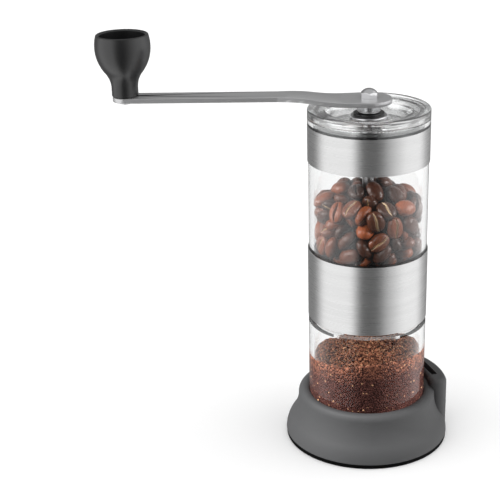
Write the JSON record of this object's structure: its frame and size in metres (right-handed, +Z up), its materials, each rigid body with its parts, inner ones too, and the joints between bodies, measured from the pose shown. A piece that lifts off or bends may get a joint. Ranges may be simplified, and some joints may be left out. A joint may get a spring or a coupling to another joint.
{
  "type": "hand crank coffee grinder",
  "caption": "Hand crank coffee grinder with a clear hopper and grounds jar, brushed steel bands, a flared grey base, a dished clear lid and a flat crank with a hollow black knob.",
  "frame": {"origin": "middle of the foot pad's underside, on the mill's axis", "axes": "+Z up along the mill's axis, the crank points along -X at rest, the ear is towards +X"},
  "size_m": [0.1735, 0.084, 0.213],
  "materials": {
    "silicone_grey": "matte moulded silicone",
    "foot_black": "matte",
    "clear_acrylic": "clear and polished",
    "soft_seal": "matte silicone",
    "brushed_band": "fine lines round the band",
    "arm_steel": "fine lines along the arm",
    "bright_steel": "polished",
    "turned_steel": "turned",
    "black_plastic": "satin",
    "burr_ceramic": "fine fired grain"
  },
  "bodies": {
    "base": {"silicone_base": "silicone_grey", "foot_pad": "foot_black"},
    "jar": {"grounds_jar": "clear_acrylic"},
    "gasket": {"jar_gasket": "soft_seal"},
    "mill": {"bean_hopper": "clear_acrylic", "upper_band": "brushed_band", "middle_band": "brushed_band", "burr_carrier": "black_plastic", "carrier_screws": "turned_steel", "shaft_bush": "black_plastic", "outer_burr": "burr_ceramic"},
    "lid": {"lid": "clear_acrylic", "lid_ferrule": "bright_steel", "lid_bush": "black_plastic"},
    "crank": {"drive_spindle": "bright_steel", "spindle_clip": "turned_steel", "crank_arm": "arm_steel", "cap_nut": "bright_steel", "knob_washer": "black_plastic", "knob_stud": "turned_steel"},
    "knob": {"crank_knob": "black_plastic"},
    "shaft": {"burr_shaft": "turned_steel", "shaft_clip": "turned_steel", "thrust_washer": "turned_steel", "burr_spring": "turned_steel"},
    "burr": {"inner_burr": "burr_ceramic", "burr_driver": "black_plastic"},
    "adjuster": {"adjusting_nut": "turned_steel"}
  },
  "joints": [
    {"name": "jar_lift", "type": "slide", "parent": "base", "child": "jar", "axis": [0, 0, 1], "range_m": [0, 0.04]},
    {"name": "gasket_lift", "type": "slide", "parent": "jar", "child": "gasket", "axis": [0, 0, 1], "range_m": [0, 0.008]},
    {"name": "mill_unscrew", "type": "hinge", "parent": "gasket", "child": "mill", "pos_m": [0, 0, 0.074], "axis": [0, 0, 1], "range_deg": [0, 720]},
    {"name": "lid_lift", "type": "slide", "parent": "mill", "child": "lid", "axis": [0, 0, 1], "range_m": [0, 0.05]},
    {"name": "crank_spin", "type": "hinge", "parent": "lid", "child": "crank", "pos_m": [0, 0, 0.17], "axis": [0, 0, 1], "continuous": true},
    {"name": "knob_spin", "type": "hinge", "parent": "crank", "child": "knob", "pos_m": [-0.118, 0, 0.19], "axis": [0, 0, 1], "continuous": true},
    {"name": "shaft_spin", "type": "hinge", "parent": "mill", "child": "shaft", "pos_m": [0, 0, 0.11], "axis": [0, 0, 1], "continuous": true},
    {"name": "burr_rise", "type": "slide", "parent": "shaft", "child": "burr", "axis": [0, 0, 1], "range_m": [0, 0.0015], "deforming": ["burr_spring"]},
    {"name": "grind_turn", "type": "hinge", "parent": "burr", "child": "adjuster", "pos_m": [0, 0, 0.066], "axis": [0, 0, 1], "range_deg": [0, 720]}
  ],
  "couplings": [
    {"joint": "gasket_lift", "follows": "mill_unscrew", "m_per_rad": 0.00063662},
    {"joint": "shaft_spin", "follows": "crank_spin", "ratio": 1},
    {"joint": "grind_turn", "follows": "burr_rise", "rad_per_m": 8377.6}
  ]
}
